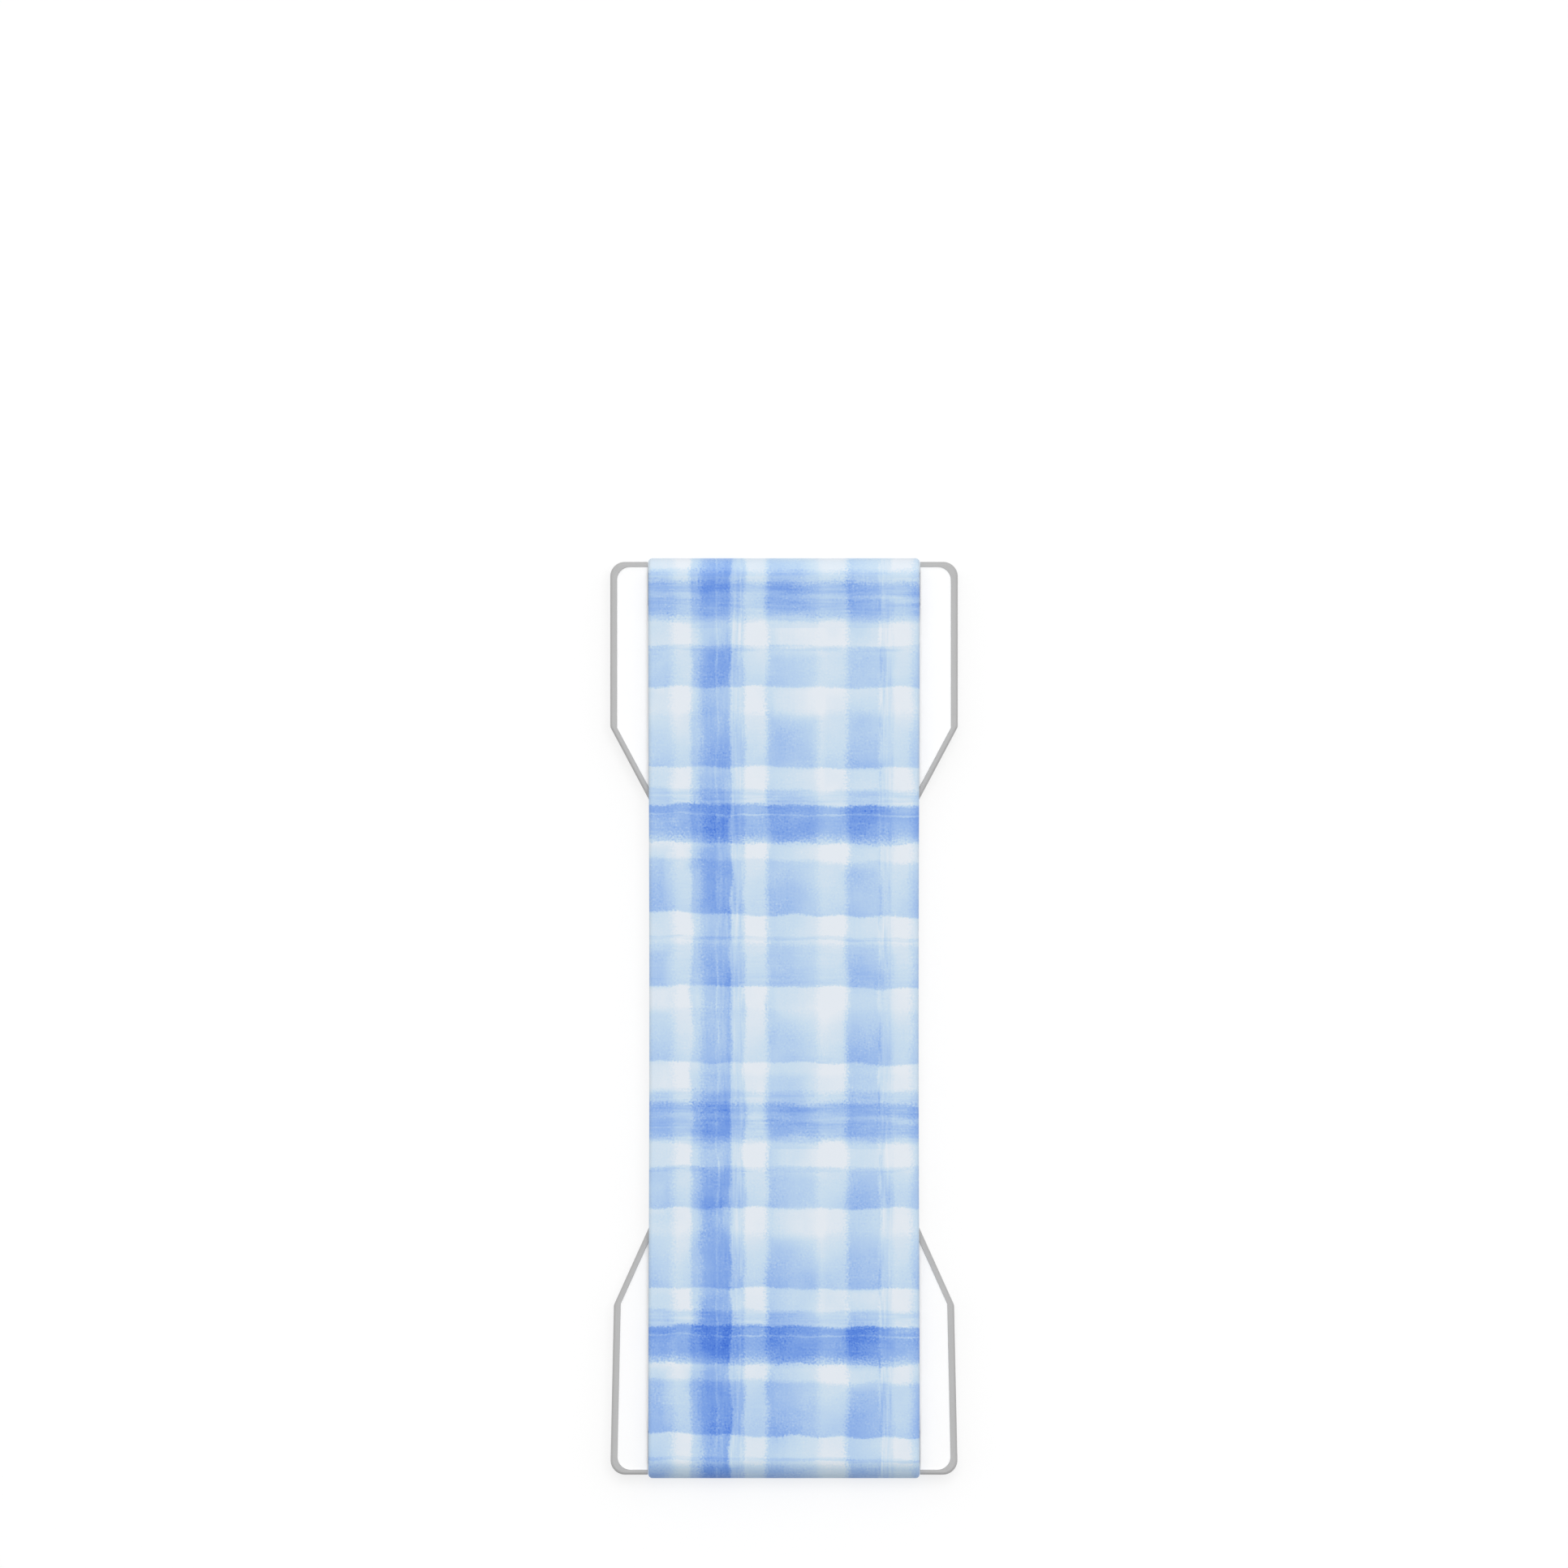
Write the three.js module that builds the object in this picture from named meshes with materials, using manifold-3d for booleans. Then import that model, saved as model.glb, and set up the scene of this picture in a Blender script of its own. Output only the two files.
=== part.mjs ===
// Phone finger strap: a flat silicone band, whose moulded ends hook round the two crossbars of a
// dog-bone shaped base plate. A foam adhesive pad under the plate holds it to a flat surface.
// Millimetres. +Z points away from that surface, and the strap's length runs along Y.
// The origin is the middle of the pad's sticky face.
import * as THREE from "three";
import { mergeVertices, toCreasedNormals } from "three/addons/utils/BufferGeometryUtils.js";
import Module from "manifold-3d";

// Strap
const strapLength = 101.4;
const strapWidth = 29.9;
const strapThickness = 1.3;
const strapEdgeRadius = 0.45;
const strapEdgeShare = 0.7; // the most of half the thickness that an edge may round off
const strapWaistPull = 0.12; // each long side is drawn in this far at mid length
const hookTurnAngle = 75; // degrees that a hook turns up behind its crossbar

// Base plate, seen from above
const endOverhang = 0.4; // the strap's folds stand this far past the plate's ends
const earWidth = 4.05; // how far each ear reaches out beside the strap
const upperEarLength = 18.2;
const lowerEarLength = 18.7;
const lowerEarFlare = 0.4; // the lower ears are this much narrower at their shoulders
const upperTaperAngle = 28; // degrees between a taper and the strap's length
const lowerTaperAngle = 24.3;
const waistInset = 2.9; // the waist's sides lie this far inside the strap's
const earCornerRadius = 1.6;
const shoulderRadius = 0.8;
const waistCornerRadius = 4;

// Base plate, in section
const plateEdgeRadius = 0.3;
const rimHeight = 0.15;
const rimSideWidth = 0.75;
const rimEndWidth = 0.55;
const rimTaperWidth = 0.63;
const rimCornerRadius = 1.1;
const barThickness = 1.1;
const barWidth = 3.6;
const barDrop = 0.05; // the crossbars' tops lie this far below the tray's floor
const barRoot = 0.75; // the crossbars run this far into the ears
const slotCornerRadius = 0.6;

// Adhesive pad and the recess that it sits in
const padThickness = 0.9;
const padRecess = 0.3;
const padCornerRadius = 0.6;
const skirtWidth = 0.8; // wall left round the recess

// Clearances
const bandGap = 0.1; // between the band and the rim that it passes over
const sideGap = 0.15; // between the strap's sides and the ears
const slotGap = 0.4; // between a hook's end and the far side of its slot
const lipGap = 0.3; // between a hook's lowest face and the level of the pad's sticky face
const padGap = 0.2; // between the pad's edge and its recess

// Facets
const foldFacets = 7; // half the number of facets in each turn of a hook
const cornerFacets = 3;
const edgeFacets = 3;
const bandStations = 14; // steps along the band, which let its sides curve
const samePoint = 1e-4; // points closer together than this are one
const cutPast = 1; // cutters run this far past what they cut
const creaseAngle = THREE.MathUtils.degToRad(32);

const finishes = {
  silicone: { color: 0xc3d8ef, roughness: 0.6 },
  whitePlastic: { color: 0xf4f5f6, roughness: 0.45 },
  foam: { color: 0xd9dadb, roughness: 0.9 },
};

// Heights, built up from the pad's sticky face
const hookGap = barDrop + rimHeight + bandGap;
const foldInnerRadius = barThickness / 2 + hookGap;
const foldOuterRadius = foldInnerRadius + strapThickness;
const barMiddleZ = lipGap + foldOuterRadius;
const trayFloor = barMiddleZ + barThickness / 2 + barDrop;
const plateTop = trayFloor + rimHeight;
const plateBottom = padThickness - padRecess;
const bandUnderside = barMiddleZ + foldInnerRadius;
const bandTop = barMiddleZ + foldOuterRadius;

// Places along the strap and across it, measured from its middle
const foldY = strapLength / 2 - foldOuterRadius;
const turnY = foldY + barThickness - barWidth;
const slotInnerY = turnY - foldOuterRadius - slotGap;
const plateEndY = strapLength / 2 - endOverhang;
const windowX = strapWidth / 2 + sideGap;
const plateSideX = windowX + earWidth;
const waistX = strapWidth / 2 - waistInset;

const outlineRadii = { ear: earCornerRadius, shoulder: shoulderRadius, waist: waistCornerRadius };
const trayRadii = { ...outlineRadii, ear: rimCornerRadius };
const padRadii = { ...outlineRadii, ear: padCornerRadius };
const rimWidths = { side: rimSideWidth, end: rimEndWidth, taper: rimTaperWidth, waist: rimTaperWidth };

const wasm = await Module();
wasm.setup();

/** Makes a closed geometry into a solid that can be joined and cut. */
function solidFrom(geometry) {
  const bare = geometry.clone();
  bare.deleteAttribute("normal");
  bare.deleteAttribute("uv");
  const merged = mergeVertices(bare);
  return new wasm.Manifold(
    new wasm.Mesh({
      numProp: 3,
      vertProperties: merged.attributes.position.array,
      triVerts: new Uint32Array(merged.index.array),
    }),
  );
}

/** Makes a solid back into a geometry, with its sharp edges kept sharp when it is shaded. */
function geometryFrom(solid) {
  const { vertProperties, triVerts } = solid.getMesh();
  const geometry = new THREE.BufferGeometry();
  geometry.setAttribute("position", new THREE.BufferAttribute(vertProperties, 3));
  geometry.setIndex(new THREE.BufferAttribute(triVerts, 1));
  return toCreasedNormals(geometry, creaseAngle);
}

/** Adds a solid's twin at the other end of the object. */
function atBothEnds(solid) {
  return solid.add(solid.mirror([0, 1, 0]));
}

/** A corner of an outline. It names its own kind, and the side that leads on from it. */
function corner(x, y, kind, side) {
  return { at: new THREE.Vector2(x, y), kind, side };
}

/** A closed shape through anticlockwise corners, rounded by the radius that their kind has. */
function roundedShape(corners, radii) {
  const shape = new THREE.Shape();
  corners.forEach(({ at, kind }, i) => {
    const radius = radii[kind];
    const back = corners.at(i - 1).at.clone().sub(at).normalize();
    const on = corners[(i + 1) % corners.length].at.clone().sub(at).normalize();
    const halfAngle = Math.acos(back.dot(on)) / 2;
    const reach = radius / Math.tan(halfAngle);
    const start = at.clone().addScaledVector(back, reach);
    const end = at.clone().addScaledVector(on, reach);
    const inward = back.clone().add(on).normalize();
    const centre = at.clone().addScaledVector(inward, radius / Math.sin(halfAngle));
    const clockwise = back.cross(on) > 0;
    const startAngle = start.sub(centre).angle();
    const endAngle = end.sub(centre).angle();
    shape.absarc(centre.x, centre.y, radius, startAngle, endAngle, clockwise);
  });
  return shape;
}

/** Moves each side of an outline inwards by its own distance. */
function insetCorners(corners, insetOf) {
  const lines = corners.map(({ at, side }, i) => {
    const next = corners[(i + 1) % corners.length].at;
    const along = next.clone().sub(at).normalize();
    const inward = new THREE.Vector2(-along.y, along.x);
    return { along, through: at.clone().addScaledVector(inward, insetOf(side)) };
  });
  return corners.map((old, i) => {
    const before = lines.at(i - 1);
    const after = lines[i];
    const apart = after.through.clone().sub(before.through);
    const share = apart.cross(after.along) / before.along.cross(after.along);
    return { ...old, at: before.through.clone().addScaledVector(before.along, share) };
  });
}

/** A prism of a shape between two heights, with its edges rounded if a radius is given. */
function prism(shape, bottom, top, edgeRadius = 0) {
  const geometry = new THREE.ExtrudeGeometry(shape, {
    depth: top - bottom - 2 * edgeRadius,
    curveSegments: cornerFacets,
    bevelEnabled: edgeRadius > 0,
    bevelThickness: edgeRadius,
    bevelSize: edgeRadius,
    bevelOffset: -edgeRadius,
    bevelSegments: edgeFacets,
  });
  return solidFrom(geometry.translate(0, 0, bottom + edgeRadius));
}

/** The outline's corners at the +Y end, from the right side of the waist to the left side. */
function endCorners(earLength, flare, taperAngle) {
  const shoulderX = plateSideX - flare;
  const shoulderY = plateEndY - earLength;
  const taperLength = (shoulderX - waistX) / Math.tan(THREE.MathUtils.degToRad(taperAngle));
  return [
    corner(waistX, shoulderY - taperLength, "waist", "taper"),
    corner(shoulderX, shoulderY, "shoulder", "side"),
    corner(plateSideX, plateEndY, "ear", "end"),
    corner(-plateSideX, plateEndY, "ear", "side"),
    corner(-shoulderX, shoulderY, "shoulder", "taper"),
    corner(-waistX, shoulderY - taperLength, "waist", "waist"),
  ];
}

/** The plate's dog-bone outline. The lower end is made as an upper one and turned half round. */
function plateCorners() {
  const upper = endCorners(upperEarLength, 0, upperTaperAngle);
  const lower = endCorners(lowerEarLength, lowerEarFlare, lowerTaperAngle);
  lower.forEach(({ at }) => at.negate());
  return [...upper, ...lower];
}

/** The openings between the ears that the hooks pass through, grown by a margin. */
function windows(margin, bottom, top) {
  const sideX = windowX + margin;
  const innerY = slotInnerY - margin;
  const outerY = plateEndY + slotCornerRadius + cutPast;
  const corners = [
    corner(-sideX, innerY, "slot", "end"),
    corner(sideX, innerY, "slot", "side"),
    corner(sideX, outerY, "slot", "end"),
    corner(-sideX, outerY, "slot", "side"),
  ];
  return atBothEnds(prism(roundedShape(corners, { slot: slotCornerRadius }), bottom, top));
}

/** What lies inside the skirt and clear of the windows, shrunk by a gap, between two heights. */
function padRegion(gap, bottom, top) {
  const inset = skirtWidth + gap;
  const corners = insetCorners(plateCorners(), () => inset);
  const notches = windows(inset, bottom - cutPast, top + cutPast);
  return prism(roundedShape(corners, padRadii), bottom, top).subtract(notches);
}

/** Extrudes a section drawn in Y and Z along X, centred, with its end edges rounded if asked. */
function extrudeAlongX(section, width, edgeRadius = 0) {
  const geometry = new THREE.ExtrudeGeometry(section, {
    depth: width - 2 * edgeRadius,
    curveSegments: foldFacets,
    bevelEnabled: edgeRadius > 0,
    bevelThickness: edgeRadius,
    bevelSize: edgeRadius,
    bevelOffset: -edgeRadius,
    bevelSegments: edgeFacets,
  });
  const toYZX = new THREE.Matrix4().makeBasis(
    new THREE.Vector3(0, 1, 0),
    new THREE.Vector3(0, 0, 1),
    new THREE.Vector3(1, 0, 0),
  );
  return geometry.translate(0, 0, edgeRadius - width / 2).applyMatrix4(toYZX);
}

/** A crossbar, at the +Y end: a flat bar with full-round edges for the hook to turn on. */
function makeCrossbar() {
  const section = new THREE.Shape();
  const up = Math.PI / 2;
  section.absarc(foldY, barMiddleZ, barThickness / 2, -up, up, false);
  section.absarc(turnY, barMiddleZ, barThickness / 2, up, 3 * up, false);
  return solidFrom(extrudeAlongX(section, 2 * (windowX + barRoot)));
}

function makeBasePlate() {
  const outline = plateCorners();
  const trayOutline = insetCorners(outline, (side) => rimWidths[side]);
  const body = prism(roundedShape(outline, outlineRadii), plateBottom, plateTop, plateEdgeRadius);
  const tray = prism(roundedShape(trayOutline, trayRadii), trayFloor, plateTop + cutPast);
  const padSeat = padRegion(0, plateBottom - cutPast, plateBottom + padRecess);
  const hookWindows = windows(0, plateBottom - cutPast, plateTop + cutPast);
  const plate = body.subtract(tray).subtract(padSeat).subtract(hookWindows);
  return geometryFrom(plate.add(atBothEnds(makeCrossbar())));
}

function makeAdhesivePad() {
  return geometryFrom(padRegion(padGap, 0, padThickness));
}

/** A hook in section: over the crossbar, round its outside, back under it and up behind it. */
function hookPoints() {
  const path = new THREE.Path();
  const up = Math.PI / 2;
  const turnEnd = -up - THREE.MathUtils.degToRad(hookTurnAngle);
  const tipRadius = strapThickness / 2;
  const tipY = turnY + (foldInnerRadius + tipRadius) * Math.cos(turnEnd);
  const tipZ = barMiddleZ + (foldInnerRadius + tipRadius) * Math.sin(turnEnd);
  path.absarc(foldY, barMiddleZ, foldOuterRadius, up, -up, true);
  path.absarc(turnY, barMiddleZ, foldOuterRadius, -up, turnEnd, true);
  path.absarc(tipY, tipZ, tipRadius, turnEnd, turnEnd - Math.PI, true);
  path.absarc(turnY, barMiddleZ, foldInnerRadius, turnEnd, -up, false);
  path.absarc(foldY, barMiddleZ, foldInnerRadius, -up, up, false);
  return path.getPoints(foldFacets);
}

/** Points along a straight run of the band, without its two ends. */
function bandPoints(fromY, toY, z) {
  return Array.from({ length: bandStations - 1 }, (_, i) => {
    const share = (i + 1) / bandStations;
    return new THREE.Vector2(THREE.MathUtils.lerp(fromY, toY, share), z);
  });
}

/** Leaves out each point that lies on the one before it. */
function distinct(points) {
  return points.filter((point, i) => point.distanceTo(points.at(i - 1)) > samePoint);
}

/** Draws in the band's long sides towards mid length, as in a band under a slight stretch. */
function drawInSides(position) {
  for (let i = 0; i < position.count; i++) {
    const fromMiddle = Math.min(Math.abs(position.getY(i)) / foldY, 1);
    const pull = (strapWaistPull * (1 + Math.cos(Math.PI * fromMiddle))) / 2;
    position.setX(i, position.getX(i) * (1 - pull / (strapWidth / 2)));
  }
}

function makeStrap() {
  const upperHook = hookPoints();
  const lowerHook = upperHook.map(({ x, y }) => new THREE.Vector2(-x, y)).reverse();
  const section = new THREE.Shape(
    distinct([
      ...upperHook,
      ...bandPoints(foldY, -foldY, bandUnderside),
      ...lowerHook,
      ...bandPoints(-foldY, foldY, bandTop),
    ]),
  );
  const edgeRadius = Math.min(strapEdgeRadius, (strapEdgeShare * strapThickness) / 2);
  const geometry = extrudeAlongX(section, strapWidth, edgeRadius);
  drawInSides(geometry.attributes.position);
  return geometryFrom(solidFrom(geometry));
}

/** A named piece with its finish. */
function piece(name, geometry, finish) {
  const mesh = new THREE.Mesh(geometry, new THREE.MeshStandardMaterial({ ...finish, metalness: 0 }));
  mesh.name = name;
  return mesh;
}

const fingerStrap = new THREE.Group();
fingerStrap.name = "phone_finger_strap";
fingerStrap.add(
  piece("strap", makeStrap(), finishes.silicone),
  piece("base_plate", makeBasePlate(), finishes.whitePlastic),
  piece("adhesive_pad", makeAdhesivePad(), finishes.foam),
);

export default fingerStrap;
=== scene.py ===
"""Looks of the phone finger strap: its printed silicone strap, moulded base plate and foam pad.

Sizes are in millimetres until a mesh is made, and every mesh is in metres in the frame's own axes:
+Y along the strap's length, +X across it and +Z up, away from the surface that the pad sticks to.
"""

from __future__ import annotations

import logging
import math
from collections.abc import Callable, Iterable, Iterator, Mapping, Sequence
from contextlib import contextmanager
from dataclasses import asdict, dataclass, field, replace
from enum import Enum
from typing import Union

import bmesh
import bpy
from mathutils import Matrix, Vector


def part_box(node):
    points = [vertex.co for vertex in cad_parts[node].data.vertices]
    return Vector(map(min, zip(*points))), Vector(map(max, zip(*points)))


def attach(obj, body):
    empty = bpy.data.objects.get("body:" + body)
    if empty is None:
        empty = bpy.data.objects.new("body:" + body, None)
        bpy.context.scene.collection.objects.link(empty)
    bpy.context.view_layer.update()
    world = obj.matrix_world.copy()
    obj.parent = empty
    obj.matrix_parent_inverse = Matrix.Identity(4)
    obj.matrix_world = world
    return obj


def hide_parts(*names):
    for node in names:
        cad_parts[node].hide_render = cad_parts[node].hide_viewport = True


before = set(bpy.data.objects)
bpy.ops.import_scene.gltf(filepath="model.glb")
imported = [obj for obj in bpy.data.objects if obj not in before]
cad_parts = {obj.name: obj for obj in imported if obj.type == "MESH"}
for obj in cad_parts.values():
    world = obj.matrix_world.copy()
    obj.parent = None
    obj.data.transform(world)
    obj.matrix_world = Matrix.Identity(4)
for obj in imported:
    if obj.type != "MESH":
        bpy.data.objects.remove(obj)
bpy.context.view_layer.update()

LOG = logging.getLogger("finger_strap")
MM = 0.001
BODY = "root"
NOISE_RANGE = (0.3, 0.7)
SAME_PLACE = 1e-7
WELD_REACH = 1e-6
Socket = bpy.types.NodeSocket
Feed = Union[bool, float, tuple, str, bpy.types.ID, Socket]


def linear(red: int, green: int, blue: int) -> tuple[float, float, float, float]:
    """Turns a colour as a screen shows it into the linear values that a shader takes.

    Args:
        red: Red from 0 to 255.
        green: Green from 0 to 255.
        blue: Blue from 0 to 255.

    Returns:
        The colour as linear red, green, blue and a full alpha.
    """
    shown = (channel / 255 for channel in (red, green, blue))
    return (*(v / 12.92 if v <= 0.04045 else ((v + 0.055) / 1.055) ** 2.4 for v in shown), 1.0)


def shaded(colour: Sequence[float], share: float) -> tuple[float, ...]:
    """Darkens a linear colour to a share of its brightness."""
    return (*(channel * share for channel in colour[:3]), 1.0)


class TreeWriter:
    """Adds nodes to one tree, and feeds each input from a value or from another node's output."""

    def __init__(self, tree: bpy.types.NodeTree) -> None:
        """Keeps the tree to write to."""
        self.tree = tree

    def add(
        self, kind: str, feeds: Mapping[Union[int, str], Feed] | None = None, **settings: object
    ) -> bpy.types.Node:
        """Adds a node.

        Args:
            kind: The node's type.
            feeds: What each of its inputs takes, by the input's name or number.
            **settings: The node's own properties.

        Returns:
            The new node.
        """
        node = self.tree.nodes.new(kind)
        for name, value in settings.items():
            setattr(node, name, value)
        for key, value in (feeds or {}).items():
            self.feed(node.inputs[key], value)
        return node

    def feed(self, socket: Socket, value: Feed) -> None:
        """Links a socket to an output, or sets it to a plain value.

        Args:
            socket: The socket.
            value: The output or the value.
        """
        if isinstance(value, Socket):
            self.tree.links.new(value, socket)
        else:
            socket.default_value = value

    def math(self, operation: str, *values: Feed) -> Socket:
        """Adds a Math node on the given values and returns its result."""
        return self.add("ShaderNodeMath", dict(enumerate(values)), operation=operation).outputs[0]

    def vector(self, operation: str, *values: Feed) -> Socket:
        """Adds a Vector Math node on the given values and returns its result."""
        return self.add("ShaderNodeVectorMath", dict(enumerate(values)), operation=operation).outputs[0]

    def scaled(self, vector: Feed, by: Feed) -> Socket:
        """Multiplies a vector by a number and returns the result."""
        return self.add("ShaderNodeVectorMath", {0: vector, "Scale": by}, operation="SCALE").outputs[0]

    def parts(self, vector: Feed) -> Mapping[str, Socket]:
        """Splits a vector and returns its X, Y and Z by name."""
        return self.add("ShaderNodeSeparateXYZ", {0: vector}).outputs

    def joined(self, **parts: Feed) -> Socket:
        """Joins X, Y and Z into a vector, with 0 for each that isn't given, and returns it."""
        return self.add("ShaderNodeCombineXYZ", parts).outputs[0]

    def blend(self, mask: Feed, low: Feed, high: Feed) -> Socket:
        """Mixes two colours, the second where the mask is 1, and returns the result."""
        return self.add("ShaderNodeMix", {0: mask, 6: low, 7: high}, data_type="RGBA").outputs[2]

    def total(self, values: Iterable[Socket]) -> Socket:
        """Adds up outputs.

        Args:
            values: The outputs.

        Returns:
            Their sum.
        """
        first, *rest = values
        for value in rest:
            first = self.math("ADD", first, value)
        return first

    def ramp_between(
        self,
        value: Feed,
        low: Feed,
        high: Feed,
        to_low: Feed = 0.0,
        to_high: Feed = 1.0,
        smooth: bool = False,
    ) -> Socket:
        """Maps a value from one range to another, held at both ends.

        Args:
            value: What is mapped.
            low: The start of its range.
            high: The end of its range.
            to_low: What the start becomes.
            to_high: What the end becomes.
            smooth: Whether the change eases in and out.

        Returns:
            The mapped value.
        """
        feeds = {"Value": value, "From Min": low, "From Max": high, "To Min": to_low, "To Max": to_high}
        kind = "SMOOTHSTEP" if smooth else "LINEAR"
        return self.add("ShaderNodeMapRange", feeds, interpolation_type=kind).outputs["Result"]

    def noise(self, scale: float, detail: float = 2.0, **feeds: Feed) -> Socket:
        """Adds a Noise Texture and returns its value, about 0.5 on average.

        Args:
            scale: How many features it has in each unit of its coordinate.
            detail: How many finer layers it has.
            **feeds: The coordinate: W for noise along a line, or Vector.

        Returns:
            The noise.
        """
        kind = "1D" if "W" in feeds else "3D"
        feeds = {**feeds, "Scale": scale, "Detail": detail}
        return self.add("ShaderNodeTexNoise", feeds, noise_dimensions=kind).outputs["Fac"]

    def varied(self, scale: float, detail: float, low: float, high: float, **feeds: Feed) -> Socket:
        """Spreads a noise from one value to another over the range that it mostly keeps to.

        Args:
            scale: How many features it has in each unit of its coordinate.
            detail: How many finer layers it has.
            low: What the low end of its range becomes.
            high: What the high end becomes.
            **feeds: The coordinate, as noise takes it.

        Returns:
            The value.
        """
        return self.ramp_between(self.noise(scale, detail, **feeds), *NOISE_RANGE, low, high)


def new_group(
    kind: str, name: str, inputs: Mapping[str, str], outputs: Mapping[str, str]
) -> bpy.types.NodeTree:
    """Makes an empty node group with named sockets.

    Args:
        kind: The tree's type.
        name: The group's name.
        inputs: Each input's name and the type of its socket.
        outputs: Each output's name and the type of its socket.

    Returns:
        The new group.
    """
    tree = bpy.data.node_groups.new(name, kind)
    for in_out, sockets in (("INPUT", inputs), ("OUTPUT", outputs)):
        for socket, socket_type in sockets.items():
            tree.interface.new_socket(name=socket, in_out=in_out, socket_type=f"NodeSocket{socket_type}")
    return tree


def new_material(name: str) -> tuple[bpy.types.Material, TreeWriter, bpy.types.Node]:
    """Makes a material with one Principled shader.

    Args:
        name: The material's name.

    Returns:
        The material, a writer for its nodes and the shader.
    """
    material = bpy.data.materials.new(name)
    material.use_nodes = True
    shader = material.node_tree.nodes["Principled BSDF"]
    return material, TreeWriter(material.node_tree), shader


# Finishes


@dataclass(frozen=True)
class MouldGrain:
    """The fine texture that a mould leaves, as a shader group that each moulded material uses."""

    name: str = "mould_grain"
    patch_scale: float = 0.04

    def group(self) -> bpy.types.NodeTree:
        """Builds the group on its first use.

        Returns:
            The group, which puts out a roughness, a normal and an even-grained mask.
        """
        if self.name in bpy.data.node_groups:
            return bpy.data.node_groups[self.name]
        inputs = dict.fromkeys(("Grain Size", "Depth", "Roughness", "Roughness Spread"), "Float")
        outputs = {"Roughness": "Float", "Normal": "Vector", "Mask": "Float"}
        tree = new_group("ShaderNodeTree", self.name, inputs, outputs)
        write = TreeWriter(tree)
        given = write.add("NodeGroupInput").outputs
        place = write.add("ShaderNodeTexCoord").outputs["Object"]
        scaled = write.scaled(place, write.math("DIVIDE", 1.0, given["Grain Size"]))
        grain = write.noise(1.0, 3.0, Vector=scaled)
        patches = write.math("SUBTRACT", write.noise(self.patch_scale, Vector=scaled), 0.5)
        rough = write.math("MULTIPLY_ADD", patches, given["Roughness Spread"], given["Roughness"])
        bump = write.add("ShaderNodeBump", {"Strength": 1.0, "Distance": given["Depth"], "Height": grain})
        results = {"Roughness": rough, "Normal": bump.outputs["Normal"], "Mask": grain}
        write.add("NodeGroupOutput", results)
        return tree

    def place(
        self,
        write: TreeWriter,
        shader: bpy.types.Node,
        size: float,
        depth: float,
        roughness: float,
        spread: float,
    ) -> bpy.types.Node:
        """Puts the group in a material and feeds the shader from it.

        Args:
            write: The writer of the material's nodes.
            shader: The material's Principled shader.
            size: The size of a grain in millimetres.
            depth: How deep the grain is, in millimetres.
            roughness: The surface's roughness on average.
            spread: How far the roughness wanders.

        Returns:
            The group's node.
        """
        feeds = {"Grain Size": size * MM, "Depth": depth * MM, "Roughness": roughness}
        feeds["Roughness Spread"] = spread
        node = write.add("ShaderNodeGroup", feeds, node_tree=self.group())
        write.feed(shader.inputs["Roughness"], node.outputs["Roughness"])
        write.feed(shader.inputs["Normal"], node.outputs["Normal"])
        return node


@dataclass(frozen=True)
class MouldedFinish:
    """A plain moulded surface, such as the white of the plate or the grey of its rim."""

    name: str
    colour: tuple[int, int, int]
    roughness: float
    grain_size: float
    grain_depth: float
    roughness_spread: float = 0.12
    mottle: float = 0.02
    shine: float = 0.4

    def material(self) -> bpy.types.Material:
        """Builds the material.

        Returns:
            A material whose colour is faintly mottled and whose surface has the mould's grain.
        """
        material, write, shader = new_material(self.name)
        grain = MouldGrain().place(
            write, shader, self.grain_size, self.grain_depth, self.roughness, self.roughness_spread
        )
        base = linear(*self.colour)
        mixed = write.blend(grain.outputs["Mask"], shaded(base, 1 - self.mottle), base)
        write.feed(shader.inputs["Base Color"], mixed)
        shader.inputs["Specular IOR Level"].default_value = self.shine
        return material


@dataclass(frozen=True)
class Stripe:
    """A brushed stripe of the plaid, as wide as the gap between two edges.

    Places are in millimetres: from the strap's middle for a stripe that runs along it, and down
    from the top of the repeat for one that runs across. Strengths are how much pigment it lays.
    """

    start: float
    end: float
    start_strength: float
    end_strength: float
    start_soft: float = 0.7
    end_soft: float = 0.7
    tilt: float = 0.0
    streaks: float = 0.05

    def feeds(self) -> dict[str, float]:
        """Names its values as the inputs of the stripe group are named."""
        return {name.replace("_", " ").title(): value for name, value in asdict(self).items()}


LENGTHWISE = (
    Stripe(-16.0, -12.25, 0.10, 0.08, end_soft=1.3),
    Stripe(-10.25, -4.4, 0.13, 0.13, 0.6, 0.6, streaks=0.06),
    Stripe(-9.2, -5.9, 0.12, 0.17, 1.2, 0.4),
    Stripe(-7.5, -4.6, -0.02, -0.03, 0.2, 0.3, streaks=2.2),
    Stripe(-7.5, -7.3, -0.06, -0.06, 0.2, 0.2, streaks=0.7),
    Stripe(-1.85, 3.8, 0.15, 0.06, 0.9, 1.1),
    Stripe(7.0, 10.6, 0.15, 0.11, 1.0, 0.5),
    Stripe(10.6, 12.1, 0.08, 0.04, 0.2, 0.5, streaks=0.8),
    Stripe(14.15, 16.0, 0.09, 0.12, start_soft=1.0),
)
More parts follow.
